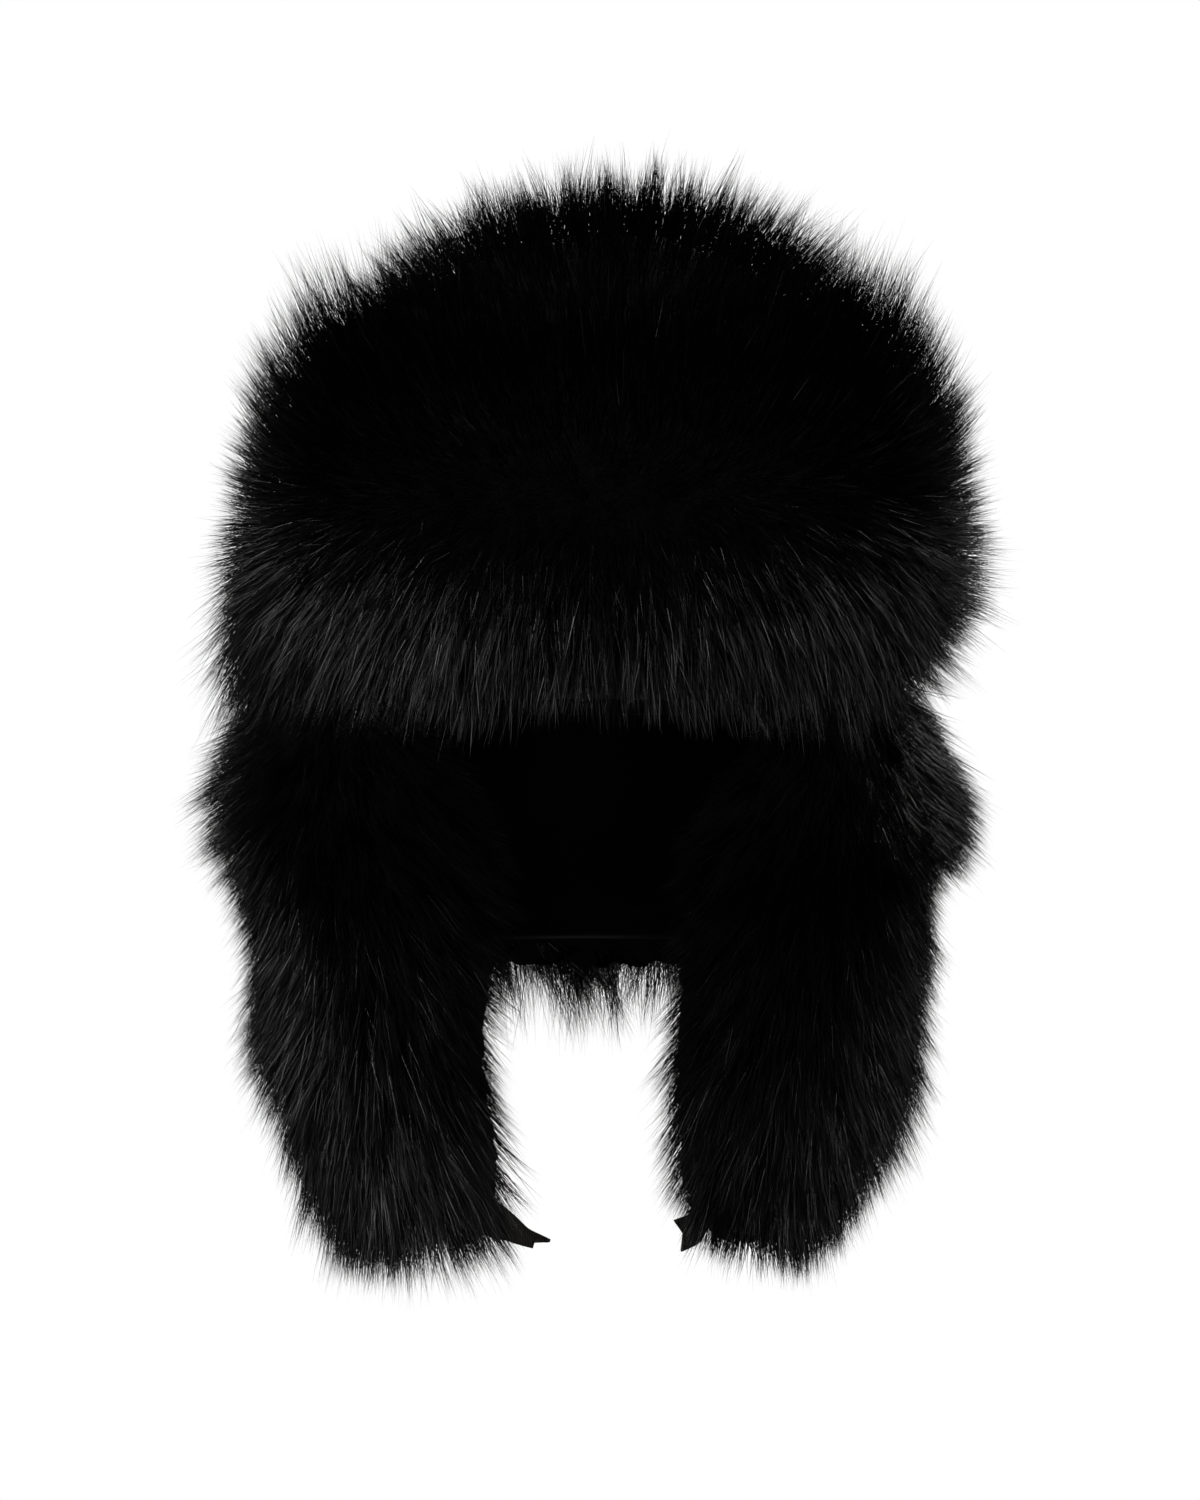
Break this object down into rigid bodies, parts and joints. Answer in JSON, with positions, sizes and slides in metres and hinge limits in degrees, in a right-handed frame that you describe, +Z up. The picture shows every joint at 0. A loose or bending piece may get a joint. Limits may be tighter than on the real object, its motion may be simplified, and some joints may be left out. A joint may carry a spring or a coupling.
{
  "type": "ushanka",
  "caption": "Black fur winter hat with a rounded crown, a tall front flap turned up, long ear flaps hanging down with short tie straps, and a neck flap behind.",
  "frame": {"origin": "centre of the head opening, at the height of the crown's rim", "axes": "+Z up out of the crown's top, -Y to the front of the hat and the face, +X to the right as seen from the front"},
  "size_m": [0.3018, 0.3218, 0.4051],
  "materials": {
    "fur": "deep glossy black fur pile",
    "satin_lining": "black satin lining with a soft sheen",
    "strap_webbing": "black flat webbing, slightly glossy"
  },
  "bodies": {
    "root": {"crown_lining": "satin_lining", "crown_fur": "fur", "front_flap": "satin_lining", "front_flap_fur": "fur", "ear_flap_left_lining": "satin_lining", "ear_flap_left_fur": "fur", "ear_flap_right_lining": "satin_lining", "ear_flap_right_fur": "fur", "neck_flap_lining": "satin_lining", "neck_flap_fur": "fur", "strap_left": "strap_webbing", "strap_right": "strap_webbing"}
  },
  "joints": []
}
